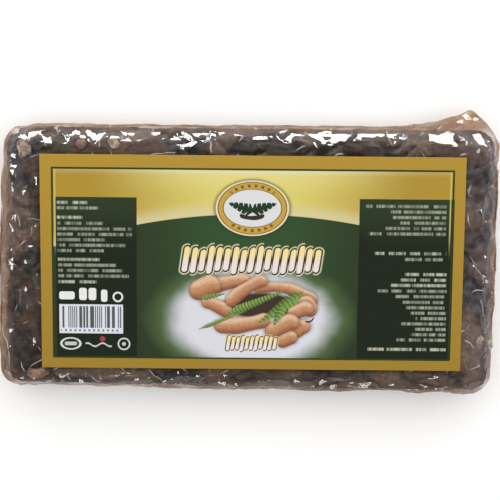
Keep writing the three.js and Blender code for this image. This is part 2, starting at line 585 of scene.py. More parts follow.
def pressed_lumps(points, settings):
    """How deep the pulp lies below its pressed surface, and how much painted shade its crevices, pits and
    low places get.
    """
    shifts = (0.0, 0.031, 0.067)
    bent = np.stack([sample(points + shift, BEND_SIZE, noise.noise) for shift in shifts], axis=1)
    cells = points + BEND * bent
    pressed = ramp(sample(points, FLAT_SIZE, noise.noise), -0.25, 0.35)
    crevice = (1 - ramp(edges_of(cells, settings.lump), 0.0, 0.30)) * (1 - 0.75 * pressed)
    pit = (1 - ramp(edges_of(cells, settings.crumb), 0.0, 0.45)) * (1 - 0.5 * pressed)
    swell = 0.5 + 0.5 * sample(points, SWELL_SIZE, noise.noise)
    strands = np.abs(sample(cells * (0.5, 1.6, 1.6), STRAND_SIZE, noise.noise))
    depth = crevice**2 * settings.lump_depth + pit * settings.crumb_depth
    depth += SWELL_DEPTH * swell + STRAND_DEPTH * strands
    return depth, np.clip(crevice**2 * 0.7 + pit * 0.25 + (0.5 - swell) * 0.4, 0, 1)


def under_chips(points):
    """How far the pulp is pressed down under each chip."""
    depth = np.zeros(len(points))
    for name in CHIP_NODES:
        away = np.linalg.norm(from_chip(points, name), axis=1)
        depth = np.maximum(depth, CHIP_DENT * ramp(-away, -0.75, -0.35))
    return depth


class TAMARIND_OT_pulp(bpy.types.Operator):
    """Make the pressed slab of pulp"""

    bl_idname = "tamarind.pulp"
    bl_label = "Pulp block"

    def execute(self, context):
        settings = context.scene.tamarind_pulp
        inset = Vector((settings.inset, settings.inset, settings.inset_faces))
        size = slab_size() - 2 * inset
        radius = context.scene.tamarind_slab.edge_round - settings.inset_faces
        pulp = rounded_slab("pressed_pulp", slab_middle(), size, radius, settings.cell)
        points = lean(points_of(pulp))
        depth, hollow = pressed_lumps(points, settings)
        depth += under_chips(points)
        move_points(pulp, points - normals_of(pulp) * depth[:, None])
        finish_with(pulp, "SMOOTH", factor=0.3, iterations=1)
        mark_points(pulp, "hollow", hollow)
        mark_points(pulp, "shade", pulp_shade(points))
        pulp.data.materials.append(pulp_material())
        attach(pulp, "root")
        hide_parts("pulp_block")
        return {"FINISHED"}


# Shell chips


def chip_material():
    material, tree, end, place = new_material("shell_chip")
    mottle = use(tree, GRAIN, place, 0.0018)
    tint = marked(tree, "tint", 0)
    base = mix(tree, mottle["Value"] * 0.55, tint, (0.20, 0.12, 0.07))
    smears = use(tree, GRAIN, place, 0.0034, 3.0)
    base = mix(tree, smears["Value"].rise(0.38, 0.62) * 0.72, base, (0.055, 0.034, 0.024))
    principled(
        tree,
        end,
        Base_Color=base,
        Roughness=mottle["Value"].rise(0.0, 1.0, 0.45, 0.7),
        Normal=bump(tree, mottle["Height"], 0.5, 0.0003),
    )
    return material


# One colour for each chip, in the order of their names.
CHIP_TINTS = [
    (0.56, 0.42, 0.28),
    (0.46, 0.33, 0.22),
    (0.44, 0.35, 0.24),
    (0.20, 0.07, 0.05),
    (0.34, 0.20, 0.12),
]


def make_chip(node_name, tint, seed):
    """A curved splinter of shell where the plain chip lies."""
    low, high = (Vector(corner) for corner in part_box(node_name))
    size = high - low
    deselect()
    bpy.ops.mesh.primitive_cylinder_add(vertices=9, radius=0.5, depth=1, location=(0, 0, 0))
    chip = bpy.context.active_object
    chip.name = node_name + "_bit"
    chip.scale = (size.x, size.y, size.z * 0.75)
    chip.location = (low + high) / 2
    settle(chip)
    bpy.ops.object.mode_set(mode="EDIT")
    bpy.ops.mesh.select_all(action="SELECT")
    bpy.ops.transform.vertex_random(offset=size.y * 0.20, uniform=0.9, seed=seed)
    bpy.ops.mesh.bevel(offset=min(size) * 0.12, segments=2)
    bpy.ops.mesh.quads_convert_to_tris()
    bpy.ops.object.mode_set(mode="OBJECT")
    finish_with(chip, "SUBSURF", levels=2, render_levels=2)
    points = points_of(chip)
    ripple = sample(points, 0.0012, noise.noise)
    points += normals_of(chip) * ripple[:, None] * 0.00012
    points[:, 2] = np.minimum(points[:, 2], high.z) - shoulder_drop(points)
    move_points(chip, points)
    mark = chip.data.attributes.new("tint", "FLOAT_COLOR", "POINT")
    mark.data.foreach_set("color", np.tile((*tint, 1.0), len(points)))
    choose(chip)
    bpy.ops.object.shade_smooth()
    return chip


class TAMARIND_OT_chips(bpy.types.Operator):
    """Make the bits of shell and seed coat that show in the pulp"""

    bl_idname = "tamarind.chips"
    bl_label = "Shell chips"

    def execute(self, context):
        material = chip_material()
        for seed, (node_name, tint) in enumerate(zip(CHIP_NODES, CHIP_TINTS), start=1):
            chip = make_chip(node_name, tint, seed)
            chip.data.materials.append(material)
            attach(chip, "root")
            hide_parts(node_name)
        return {"FINISHED"}


# Film


def film_material():
    """Clear film with a mirror skin, a tan smear where it stands off the pulp, a patchy pale layer of
    painted glare and white crease streaks that are painted glints.
    """
    settings = bpy.context.scene.tamarind_film
    material, tree, end, place = new_material("clear_film")
    smear = marked(tree, "smear")
    facing = wire(tree, "ShaderNodeLayerWeight", output=1)
    mirror = facing.maths("POWER", 4.0) * 0.12 + 0.032
    net = {"Vector": place, "Scale": 170.0}
    creases = wire(tree, "ShaderNodeTexVoronoi", named=net, feature="DISTANCE_TO_EDGE")
    wrinkle = clouds(place, 300.0, 3.0)
    normal = bump(tree, creases.rise(0.0, 0.25) + wrinkle * 0.4, 0.18, 0.0003)
    # Painted highlights: thin broken white streaks along two slants stand in for glints on the creases.
    drift = clouds(place, 48.0, output=1)
    bent = wire(tree, "ShaderNodeVectorMath", drift, (0.016, 0.016, 0.016), place, operation="MULTIPLY_ADD")
    x, y, z = bent.parts()
    broken = clouds(place, 130.0, 1.0)
    one_way = (x * 520.0 + y * 260.0 + z * 330.0).maths("SINE").size().rise(0.15, 0.04)
    other_way = (y * 430.0 - x * 190.0 + z * 240.0).maths("SINE").size().rise(0.12, 0.03)
    painted_crease_glints = one_way * broken.rise(0.55, 0.66) + other_way * broken.rise(0.43, 0.33)
    # Painted glare: a patchy pale layer where the points are marked for glare.
    painted_glare_haze = wrinkle.rise(0.35, 0.75) * marked(tree, "veil")
    tint = mix(tree, smear, (0.99, 0.985, 0.98), tuple(settings.smear))
    clear = wire(tree, "ShaderNodeBsdfTransparent", tint)
    # The diffuse layer is tan where smeared, lilac painted glare elsewhere, and white in the painted crease
    # glints.
    smear_and_glare_colour = mix(tree, smear.rise(0.0, 0.3), (0.58, 0.57, 0.74), (0.47, 0.335, 0.245))
    smear_and_glare_colour = mix(tree, painted_crease_glints, smear_and_glare_colour, (0.86, 0.86, 0.88))
    smear_and_glare_layer = wire(tree, "ShaderNodeBsdfDiffuse", smear_and_glare_colour, named={"Normal": normal})
    shine = mix(tree, smear, (1.0, 1.0, 1.0), (0.93, 0.85, 0.79))
    gloss = wire(tree, "ShaderNodeBsdfGlossy", shine, 0.06, named={"Normal": normal})
    cover = smear * wrinkle.rise(0.30, 0.62, 0.5, 1.0) * (facing * 0.72 + 0.12)
    body = wire(tree, "ShaderNodeMixShader", painted_glare_haze + cover + painted_crease_glints * 0.26, clear, smear_and_glare_layer)
    whole = wire(tree, "ShaderNodeMixShader", mirror, body, gloss)
    tree.links.new(whole.socket, end.inputs["Surface"])
    return material


# Sharp folds that catch the light: x and y from the middle of the slab in millimetres, angle in degrees,
# length and width in millimetres.
FOLDS = [
    (-80.9, -1.9, -14, 7.7, 4.0),
    (-80.2, 3.8, -6, 5.1, 2.6),
    (-86.0, 3.6, 8, 3.3, 2.6),
    (-84.0, -14.0, 84, 9.9, 2.8),
    (-78.9, 44.6, 32, 7.0, 2.8),
    (-59.8, 45.0, -47, 7.7, 2.8),
    (-42.1, 40.6, 12, 3.3, 2.8),
    (-70.0, 46.0, 20, 6.6, 3.1),
    (-26.0, -43.0, 80, 2.9, 2.5),
    (-20.4, -43.2, -28, 7.0, 2.8),
    (-52.0, -43.4, 12, 7.7, 2.8),
    (34.0, -43.2, -10, 8.8, 2.8),
    (82.0, -1.6, 70, 4.0, 3.1),
    (88.0, -6.6, -12, 5.9, 3.7),
    (88.6, -16.4, -64, 8.1, 3.1),
    (86.0, 18.0, -80, 8.8, 2.8),
    (55.8, 46.0, 52, 5.9, 3.1),
    (78.2, 46.4, -28, 6.2, 3.4),
    (88.2, 40.0, -82, 12.1, 2.8),
    (20.0, 44.5, -16, 9.9, 3.1),
    (-10.0, 45.5, 10, 11.0, 3.1),
]


# How large the film's long folds and short ones are, and how far from an end the long ones start to turn
# along it and have turned.
LONG_FOLD = 0.0095
SHORT_FOLD = 0.0052
TURN_START = 0.022
TURN_END = 0.010


def folded(points):
    """How far the film stands up in its sharp folds, of the full height."""
    middle = slab_middle()
    rise = np.zeros(len(points))
    for x, y, angle, length, width in FOLDS:
        turn = math.radians(angle)
        right = (points[:, 0] - middle.x) / MM - x
        up = (points[:, 1] - middle.y) / MM - y
        along = right * math.cos(turn) + up * math.sin(turn)
        across = up * math.cos(turn) - right * math.sin(turn)
        ridge = np.clip(1 - np.abs(across) / (width / 2), 0, 1)
        rise = np.maximum(rise, ridge * ramp(-np.abs(along), -length / 2, -length / 4))
    return rise * ramp(points[:, 2], middle.z, FILM_HEIGHT)


def crumpled(points, settings):
    """How far the film sinks in its folds: long ones along the edges, short ones over the lumps."""
    middle = slab_middle()
    half = slab_size() / 2
    at_end = ramp(np.abs(points[:, 0] - middle.x), half.x - TURN_START, half.x - TURN_END)
    shift = Vector((settings.seed, settings.seed * 2.7, 0))
    long_x = sample(points * (0.45, 1.2, 1.2), LONG_FOLD, lambda p: abs(noise.noise(p + shift)))
    long_y = sample(points * (1.2, 0.5, 1.2), LONG_FOLD, lambda p: abs(noise.noise(p - shift)))
    short = sample(points, SHORT_FOLD, lambda p: abs(noise.noise(p + shift * 2)))
    long_folds = long_x * (1 - at_end) + long_y * at_end
    return settings.crumple * np.minimum(1.55 * long_folds + 0.55 * short, 1.0)


# The standing corner: how wide a band of film it takes up, how far it passes the end and how far it rises.
EAR_BAND = 0.0095
EAR_OVERHANG = 0.0016
EAR_RISE = 0.002
# The flap folded over each end: where it starts, its top and foot, half its width and how it narrows.
FLAP_START = 0.0065
FLAP_TOP = 0.0155
FLAP_FOOT = 0.002
FLAP_HALF_WIDTH = 0.041
FLAP_TAPER = 0.62
# The overlap along the back: its two edges from the middle, and how far it ends before the slab does.
LAP_EDGES = (-0.008, 0.014)
LAP_INSET = 0.012
# The lowest that each layer of film comes, so that none goes through the floor or another.
FILM_LOWEST = 0.0004
FLAP_LOWEST = 0.0003
LAP_LOWEST = 0.0001
# The rim of film that carries a smear, how much wider it is at the left end, and how large its patches are.
RIM = 0.0035
LEFT_RIM_EXTRA = 0.0026
SMEAR_SIZE = 0.008


def film_ear(points, reach):
    """The fold of film at the upper right corner, standing out from the side at mid height."""
    middle = slab_middle()
    half = slab_size() / 2
    x = (points[:, 0] - middle.x) / half.x
    past_side = points[:, 1] - middle.y - half.y
    along = np.interp(x, [0.60, 0.72, 0.885, 0.955, 1.01], [0, 0.25, 1, 0.45, 0])
    out = np.clip((past_side + EAR_BAND) / EAR_BAND, 0, 1)
    flat = 1 - np.clip(np.abs(points[:, 2] - middle.z) / (half.z * 0.92), 0, 1)
    points[:, 1] += reach * along * out**1.5 * flat**0.8
    past_side = points[:, 1] - middle.y - half.y
    corner = np.interp(x, [0.80, 1.0], [0, 1]) * np.clip(1 - np.abs(past_side + 0.006) / 0.008, 0, 1)
    points[:, 0] += EAR_OVERHANG * corner * flat
    points[:, 2] += (middle.z + EAR_RISE - points[:, 2]) * along * out**3 * 0.55


def cut_copy(film, cuts):
    """A copy of the film, trimmed by cuts that each have a place and the way to the part that is kept."""
    choose(film)
    bpy.ops.object.duplicate()
    layer = bpy.context.active_object
    bpy.ops.object.mode_set(mode="EDIT")
    for place, kept_way in cuts:
        bpy.ops.mesh.select_all(action="SELECT")
        bpy.ops.mesh.bisect(plane_co=place, plane_no=kept_way, clear_inner=True)
    bpy.ops.object.mode_set(mode="OBJECT")
    return layer


def end_flap(film, side):
    """A second layer folded over an end: the end's own faces, copied, trimmed to a trapezium and lifted."""
    middle = slab_middle()
    start = middle.x + side * (slab_size().x / 2 - FLAP_START)
    cuts = [((start, middle.y, 0), (side, 0, 0)), ((0, 0, FLAP_TOP), (0, 0, -1))]
    for way in (1, -1):
        corner = (middle.x, middle.y + way * FLAP_HALF_WIDTH, FLAP_FOOT)
        cuts.append((corner, (0, -way, -FLAP_TAPER)))
    flap = cut_copy(film, cuts)
    points = points_of(flap)
    points[:, 0] += side * (0.0002 + 0.0004 * ramp(points[:, 2], 0.006, FLAP_TOP))
    points[:, 2] = np.maximum(points[:, 2], FLAP_LOWEST)
    move_points(flap, points)
    return flap


def back_lap(film):
    """The film's free edge over its start along the back: a strip of the back, copied and laid flat."""
    middle = slab_middle()
    reach = slab_size().x / 2 - LAP_INSET
    lower, upper = LAP_EDGES
    cuts = [
        ((0, 0, 0.001), (0, 0, -1)),
        ((0, middle.y + upper, 0), (0, -1, 0)),
        ((0, middle.y + lower, 0), (0, 1, 0)),
        ((middle.x + reach, 0, 0), (-1, 0, 0)),
        ((middle.x - reach, 0, 0), (1, 0, 0)),
    ]
    lap = cut_copy(film, cuts)
    points = points_of(lap)
    points[:, 2] = LAP_LOWEST
    move_points(lap, points)
    return lap


class TAMARIND_OT_film(bpy.types.Operator):
    """Make the creased clear film round the slab"""

    bl_idname = "tamarind.film"
    bl_label = "Film wrap"

    def execute(self, context):
        settings = context.scene.tamarind_film
        radius = context.scene.tamarind_slab.edge_round
        film = rounded_slab("clear_film_wrap", slab_middle(), slab_size(), radius, settings.cell)
        points = lean(points_of(film))
        normals = normals_of(film)
        bare = off_label(points, 0.004) * ramp(points[:, 2], 0.0008, 0.004)
        bare *= 1 - 0.85 * near_chips(points)
        sink = crumpled(points, settings) - folded(points) * settings.fold_height
        points -= normals * (sink * bare)[:, None]
        film_ear(points, settings.ear)
        points[:, 2] = np.maximum(points[:, 2], FILM_LOWEST)
        move_points(film, points)
        finish_with(film, "DECIMATE", ratio=settings.facets)
        flaps = [end_flap(film, 1), end_flap(film, -1), back_lap(film)]
        choose(film)
        for flap in flaps:
            flap.select_set(True)
        bpy.ops.object.join()
        finish_with(film, "SOLIDIFY", thickness=settings.thickness, offset=-1)
        self.mark_smear_and_glare(film)
        choose(film)
        bpy.ops.object.shade_smooth_by_angle(angle=math.radians(5))
        film.data.materials.append(film_material())
        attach(film, "root")
        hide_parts("film_wrap")
        return {"FINISHED"}

    def mark_smear_and_glare(self, film):
        """Film that stands off the pulp at the sides and in the ear carries a tan smear; the right end, the
        upper part of the left end and the upper side carry painted glare.
        """
        points = points_of(film)
        middle = slab_middle()
        half = slab_size() / 2
        past_side = np.abs(points[:, 1] - middle.y) - (half.y - RIM)
        past_end = np.abs(points[:, 0] - middle.x) - (half.x - RIM)
        past_end += LEFT_RIM_EXTRA * (points[:, 0] < middle.x)
        out = ramp(np.maximum(past_side, past_end), 0, RIM)
        in_ear = ramp(points[:, 0], middle.x + 0.6 * half.x, middle.x + 0.75 * half.x)
        out *= 1 - 0.25 * in_ear * ramp(points[:, 1], middle.y + half.y - 0.001, middle.y + half.y + 0.002)
        patchy = 0.35 + 0.65 * ramp(sample(points, SMEAR_SIZE, noise.noise), -0.35, 0.35)
        mark_points(film, "smear", np.clip(out * patchy, 0, 1))
        along = (points[:, 0] - middle.x) / half.x
        across = (points[:, 1] - middle.y) / half.y
        # Painted glare: pale at the right end, at the upper part of the left end and along the upper side.
        veil = 0.003 + 0.055 * ramp(along, 0.80, 0.95)
        veil += 0.05 * ramp(-along, 0.80, 0.95) * ramp(across, -0.2, 0.7)
        mark_points(film, "veil", veil + 0.012 * ramp(across, 0.8, 1.0))


# Label

# Ink reflects a little less than the colour seen under the stage's light.
INK_DEPTH = 0.84


def srgb(red, green, blue):
    """A printed colour, given as it is seen under a bright lamp."""
    return tuple(INK_DEPTH * ((c / 255 + 0.055) / 1.055) ** 2.4 for c in (red, green, blue))


def patch_shape(u, v, x, y, half_width, half_height, corner):
    """How far a point is outside a rectangle with rounded corners."""
    across = (u - x).size() - half_width + corner
    up = (v - y).size() - half_height + corner
    outside = (across.most(0.0) * across.most(0.0) + up.most(0.0) * up.most(0.0)).maths("SQRT")
    return {"Distance": outside + across.most(up).least(0.0) - corner}


def oval_shape(u, v, x, y, half_width, half_height):
    """How far a point is outside an oval, and where it is round the oval."""
    across = (u - x) / half_width
    up = (v - y) / half_height
    reach = (across * across + up * up).maths("SQRT")
    distance = (reach - 1.0) * half_width.least(half_height)
    return {"Distance": distance, "Reach": reach, "Around": up.maths("ARCTAN2", across)}


def turned_place(u, v, x, y, angle):
    """A place measured from (x, y) along a line at an angle, and across it."""
    across, up = u - x, v - y
    cosine, sine = angle.maths("COSINE"), angle.maths("SINE")
    return across * cosine + up * sine, up * cosine - across * sine


def pod_shape(u, v, x, y, angle, length, radius, bend):
    """A bent pod with swellings: where it is, how lit it is from above and how near its edge."""
    s, t = turned_place(u, v, x, y, angle)
    half = length * 0.5 - radius * 0.9
    part = s / (length * 0.5)
    t = t + part * part * bend
    past = (s.size() - half).most(0.0)
    swell = (s * 1.9 / radius.maths("ADD", 1.2) + x).maths("SINE") * 0.09 + 1.0
    reach = (past * past + t * t).maths("SQRT") / (radius * swell)
    end = s.maths("SIGN") * past
    rise = (end * angle.maths("SINE") + t * angle.maths("COSINE")) / radius
    light = (rise * 0.5 + 0.5).maths("ADD", 0.0, clamp=True)
    return {"Distance": (reach - 1.0) * radius, "Light": light, "Reach": reach}


def frond_shape(u, v, x, y, angle, length, half_width, leaflets):
    """A feathered leaf from its foot: where it is, and how far through each leaflet."""
    s, t = turned_place(u, v, x, y, angle)
    part = s / length
    outline = (part * 5.0).least(1.0) * (1.0 - part).most(0.0).maths("POWER", 0.6) * half_width
    slot = (part * leaflets - t.size() * 0.55 / half_width).maths("FRACT")
    blade = slot.rise(0.0, 0.16) * slot.rise(1.0, 0.82)
    leaf = outline * (blade * 0.62 + 0.38) - t.size()
    stem = 0.16 - t.size()
    inside = part.rise(-0.02, 0.0) * part.rise(1.02, 1.0)
    mask = leaf.most(stem).rise(-0.12, 0.12) * inside
    return {"Mask": mask, "Light": slot * 0.55 + (t / half_width) * 0.35 + 0.2}


def bean_row_shape(u, v, x, y, half_row, pitch, half_height):
    """A row of beans that slant one way: how far a point is outside them, and how high up them."""
    along = u - x
    within = along.least(half_row).most(0.0 - half_row)
    count = within / pitch + 0.5
    slot = (count.maths("FRACT") - 0.5) * pitch + along - within
    v = v - y - (along * 0.41).maths("SINE") * 0.06 * half_height
    across = slot - v * 0.15
    round_end = pitch * 0.335
    height = half_height * ((count.maths("FLOOR") * 2.3).maths("SINE") * 0.12 + 0.88)
    past = (v.size() - height + round_end).most(0.0)
    distance = (past * past + across * across).maths("SQRT") - round_end
    return {"Distance": distance, "Up": v / half_height * 0.5 + 0.5}


# The height of a row of print and the width of one dash, in millimetres.
ROW_HEIGHT = 2.04
DASH = 0.52


def rows_shape(u, v, edge, top, width, rows, way, weight):
    """Rows of small dashes that stand for print, ragged on one side."""
    down = (top - v) / ROW_HEIGHT
    row = down.maths("FLOOR")
    within = down.maths("FRACT")
    start = (u - edge) * way
    length = (chance(row + top) * 0.42 + 0.58) * width
    mark = chance((start / DASH).maths("FLOOR") + (row + top) * 37.7)
    spread = start * 0.38 + (row + top) * 53.1
    plain = {"Scale": 1.0, "Detail": 0.0}
    gap = wire(u.tree, "ShaderNodeTexNoise", None, spread, noise_dimensions="1D", named=plain)
    line = within.rise(0.08, 0.30) * within.rise(0.84, 0.60)
    block = row.rise(-0.6, -0.4) * (rows - row).rise(0.4, 0.6)
    block = block * start.rise(-0.1, 0.1) * (length - start).rise(0.0, 0.3)
    ink = (mark * 0.7 + 0.2) * gap.rise(0.30, 0.38)
    return {"Mask": line * block * ink * weight}


# The shapes' node groups: name, inputs and what builds them.
PATCH = ("Patch", numbers("U", "V", "X", "Y", "Half width", "Half height", "Corner"), patch_shape)
OVAL = ("Oval", numbers("U", "V", "X", "Y", "Half width", "Half height"), oval_shape)
POD = ("Pod", numbers("U", "V", "X", "Y", "Angle", "Length", "Radius", "Bend"), pod_shape)
FROND = ("Frond", numbers("U", "V", "X", "Y", "Angle", "Length", "Half width", "Leaflets"), frond_shape)
BEAN_ROW = ("Bean row", numbers("U", "V", "X", "Y", "Half row", "Pitch", "Half height"), bean_row_shape)
ROWS = ("Rows", numbers("U", "V", "Edge", "Top", "Width", "Rows", "Way", "Weight"), rows_shape)


# The printed picture, in millimetres from the middle of the label.
# Pods: x, y, angle in degrees, length, radius, bend, and how pink they are; the first lies at the back.
PODS = [
    (-8.8, -7.2, 11, 16.0, 2.75, 0.7, 0.5),
    (-17.6, -9.2, 24, 12.0, 3.75, 0.2, 0.35),
    (13.2, -9.2, -11, 23.5, 2.05, 2.6, 0.3),
    (-12.9, -16.1, -24, 11.5, 2.55, 0.4, 0.55),
    (21.2, -15.9, -58, 8.2, 2.85, 0.3, 0.75),
    (17.9, -17.6, 24, 9.6, 2.9, 0.4, 0.5),
    (18.0, -24.4, 38, 7.6, 3.05, 0.2, 0.2),
    (13.0, -28.4, 30, 7.8, 2.75, 0.3, 0.1),
    (11.2, -23.4, 27, 12.6, 3.35, 0.6, 0.35),
    (-3.7, -23.2, 8, 20.5, 2.95, -0.9, 0.3),
    (-2.6, -9.7, 34, 17.5, 2.45, 1.1, 0.35),
]
# Fronds: x and y of the foot, angle in degrees, length, half width and number of leaflets.
FRONDS = [
    (-19.3, -13.4, 12, 9.6, 1.3, 7),
    (-9.6, -19.4, 23, 24.0, 2.05, 19),
    (-19.6, -24.9, 22, 18.0, 1.0, 17),
    (19.0, -10.6, 216, 20.5, 2.9, 13),
    (11.8, -15.6, 246, 8.6, 2.4, 6),
]
# Rows of print: edge, top, width, number of rows, weight.
LEFT_PRINT = [
    (-72.3, 23.1, 11.5, 1, 0.85),
    (-72.3, 21.1, 24.5, 1, 0.55),
    (-72.3, 17.6, 14.5, 1, 0.85),
    (-72.3, 15.4, 29.5, 6, 0.55),
    (-72.1, 1.9, 18.0, 1, 0.85),
    (-72.1, -0.2, 27.5, 3, 0.55),
    (-72.1, -6.5, 16.5, 1, 0.85),
]
RIGHT_PRINT = [
    (71.6, 22.7, 31.0, 6, 0.55),
    (72.0, 5.2, 31.0, 1, 0.8),
    (72.0, 3.0, 17.0, 1, 0.6),
    (72.3, -2.6, 16.5, 1, 0.85),
    (72.3, -4.7, 29.0, 2, 0.85),
    (72.6, -8.9, 28.0, 2, 0.55),
    (72.6, -13.1, 18.5, 8, 0.6),
    (72.9, -31.0, 32.0, 1, 0.85),
]
# The weight's plain bars: x, y, half width, half height.
WEIGHT_BARS = [
    (-68.9, -12.6, 2.9, 1.5),
    (-62.9, -12.0, 1.45, 2.3),
    (-59.4, -12.0, 1.45, 2.3),
    (-55.0, -12.6, 1.2, 2.3),
]
# Where the left part of the picture ends and where the right part starts.
LEFT_PART = -42.0
RIGHT_PART = 39.0
# From one rise of the label to the next in metres, and its faces along and across.
WAVE_LENGTH = 0.03
LABEL_FACES = (96, 48)


class Print:
    """The label's ink, laid down colour over colour."""

    def __init__(self, tree, place, ground):
        self.tree = tree
        self.place = place
        self.u, self.v, _ = place.parts()
        self.ink = ground

    def lay(self, amount, colour):
        self.ink = mix(self.tree, amount, self.ink, colour)

    def shape(self, pattern, *values):
        """What a shape's group says at this place."""
        return use(self.tree, pattern, self.u, self.v, *values)

    def outside(self, pattern, *values):
        """How far this place is outside a shape."""
        return self.shape(pattern, *values)["Distance"]

    def fill(self, distance, colour, soft=0.09):
        """Ink wherever the distance to a shape is below zero."""
        self.lay(distance.rise(soft, -soft), colour)


def print_ground(sheet, settings):
    """The border, the glow behind the emblem, the arched green field and its two panels, with a painted
    shade that darkens the border towards the bottom.
    """
    tree, u, v = sheet.tree, sheet.u, sheet.v
    # Painted shade: the gold darkens towards the bottom, as if lit from the upper side.
    sheet.lay(v.rise(40.0, -40.0, 0.0, 0.26, smooth=False), srgb(60, 44, 16))
    middle_glow = u.size().rise(63.0, 6.0)
    frame_edge = sheet.outside(PATCH, 0.0, -0.5, 74.0, 35.4, 0.0)
    warm = mix(tree, middle_glow, srgb(180, 147, 46), srgb(226, 212, 112))
    warm = mix(tree, v.rise(24.0, 33.5) * middle_glow * 0.55, warm, srgb(236, 226, 150))
    warm = mix(tree, v.rise(32.2, 35.2) * (middle_glow * 0.75 + 0.25), warm, srgb(226, 230, 186))
    sheet.fill(frame_edge, warm)
    arch = u * u * -0.00232 + 18.35
    above = v - arch
    sheet.lay(frame_edge.rise(0.05, -0.05) * above.rise(6.5, 0.2) * 0.8, srgb(222, 210, 166))
    green = mix(tree, u.size().rise(10.0, 44.0), srgb(52, 84, 44), tuple(settings.green))
    green = mix(tree, v.rise(-16.0, -34.0) * 0.6, green, srgb(44, 56, 36))
    sheet.lay(above.rise(0.12, -0.12) * frame_edge.rise(0.1, -0.1), green)
    for half, middle, top in ((15.0, -57.8, 24.25), (17.55, 57.05, 24.4)):
        panel = sheet.outside(PATCH, middle, (top - 35.9) / 2, half, (top + 35.9) / 2, 0.0)
        shade = mix(tree, v.rise(24.0, 4.0), srgb(46, 62, 36), srgb(29, 39, 25))
        sheet.fill(panel, shade)
    line = frame_edge.size()
    pale = (u.size() - 73.05).size().rise(0.42, 0.12) * v.rise(1.0, 14.0) * v.rise(35.5, 34.0)
    sheet.lay(pale * 0.75, srgb(214, 204, 120))
    sheet.lay(line.rise(0.50, 0.22), srgb(46, 62, 26))


def print_glow(sheet):
    """The white glow that the pods lie on."""
    glow = sheet.shape(OVAL, -0.2, -21.0, 32.5, 19.5)["Reach"]
    ragged = clouds(sheet.place, 0.12)
    edge = glow + ragged * 0.14
    low = sheet.v.rise(-35.8, -35.5)
    sheet.lay(edge.rise(1.36, 1.04) * low * 0.85, srgb(88, 112, 66))
    sheet.lay(edge.rise(1.14, 0.82) * low, srgb(222, 222, 230))


def print_pods(sheet):
    tree = sheet.tree
    dark = sheet.shape(OVAL, 3.4, -15.8, 15.0, 5.2)["Reach"]
    skin = clouds(sheet.place, 0.9, 3.0)
    sheet.lay(dark.rise(1.1, 0.8), srgb(66, 52, 42))
    for x, y, angle, length, radius, bend, pink in PODS:
        pod = sheet.shape(POD, x, y, math.radians(angle), length, radius, bend)
        light = pod["Light"] + (skin - 0.5) * 0.35
        shadow, flesh = srgb(140 + 30 * pink, 92, 64), srgb(196, 140, 90 + 26 * pink)
        colour = mix(tree, light.rise(0.10, 0.50), shadow, flesh)
        colour = mix(tree, light.rise(0.48, 0.84), colour, srgb(229, 190, 156))
        colour = mix(tree, pod["Reach"].rise(0.76, 1.0) * 0.5, colour, srgb(126, 74, 50))
        sheet.lay(pod["Distance"].rise(1.3, 0.0) * 0.35, srgb(70, 50, 40))
        sheet.fill(pod["Distance"], colour, 0.16)


def print_fronds(sheet):
    for x, y, angle, length, half_width, leaflets in FRONDS:
        frond = sheet.shape(FROND, x, y, math.radians(angle), length, half_width, leaflets)
        colour = mix(sheet.tree, frond["Light"].rise(0.1, 0.8), srgb(76, 104, 50), srgb(138, 170, 78))
        sheet.lay(frond["Mask"], colour)
    stem = sheet.outside(POD, 22.0, -21.6, math.radians(28), 3.6, 0.32, -0.7)
    sheet.fill(stem, srgb(70, 40, 40))


def print_bean_row(sheet, x, y, half_row, pitch, half_height, outline):
    """A row of cream beans with a brown edge and a pale line round them."""
    band = sheet.shape(BEAN_ROW, x, y, half_row, pitch, half_height)
    sheet.lay(band["Distance"].rise(outline * 2.6, outline * 1.3), srgb(222, 220, 190))
    sheet.fill(band["Distance"] - outline * 1.15, srgb(62, 40, 24), 0.12)
    colour = mix(sheet.tree, band["Up"].rise(0.25, 0.85), srgb(240, 228, 226), srgb(250, 226, 150))
    sheet.fill(band["Distance"], colour, 0.12)


def print_emblem(sheet):
    """A plain oval badge: a gold ring with beads and a sprig on white."""
    middle = (-0.05, 20.6)
    oval = sheet.shape(OVAL, *middle, 13.9, 10.55)
    sheet.lay(oval["Distance"].rise(1.1, -0.4) * 0.7, srgb(52, 56, 34))
    sheet.fill(oval["Distance"] + 0.25, srgb(236, 224, 186))
    sheet.fill(oval["Distance"] + 0.80, srgb(84, 66, 34))
    sheet.fill(oval["Distance"] + 1.05, srgb(203, 164, 62))
    beads = (oval["Around"] * 27.0).maths("SINE")
    beads = beads.rise(0.0, 0.5) * oval["Around"].maths("SINE").size().rise(0.62, 0.75)
    sheet.lay(beads * (oval["Distance"] + 2.25).size().rise(0.68, 0.42) * 0.8, srgb(92, 62, 20))
    white = sheet.outside(OVAL, *middle, 10.6, 6.9)
    sheet.fill(white - 0.22, srgb(112, 88, 40))
    sheet.fill(white, srgb(226, 226, 228))
    for way in (1, -1):
        angle = math.radians(90 - way * 72)
        sprig = sheet.shape(FROND, way * -0.4, middle[1] - 1.2, angle, 9.6, 2.7, 5)
        sheet.lay(sprig["Mask"], srgb(34, 60, 40))
    bean = sheet.outside(POD, -0.1, middle[1] - 3.6, 0.0, 9.0, 0.8, -0.9)
    sheet.fill(bean, srgb(58, 50, 34))


def print_rows(sheet, blocks, way):
    for edge, top, width, count, weight in blocks:
        mask = sheet.shape(ROWS, edge, top, width, float(count), way, weight)["Mask"]
        sheet.lay(mask, srgb(222, 226, 200))


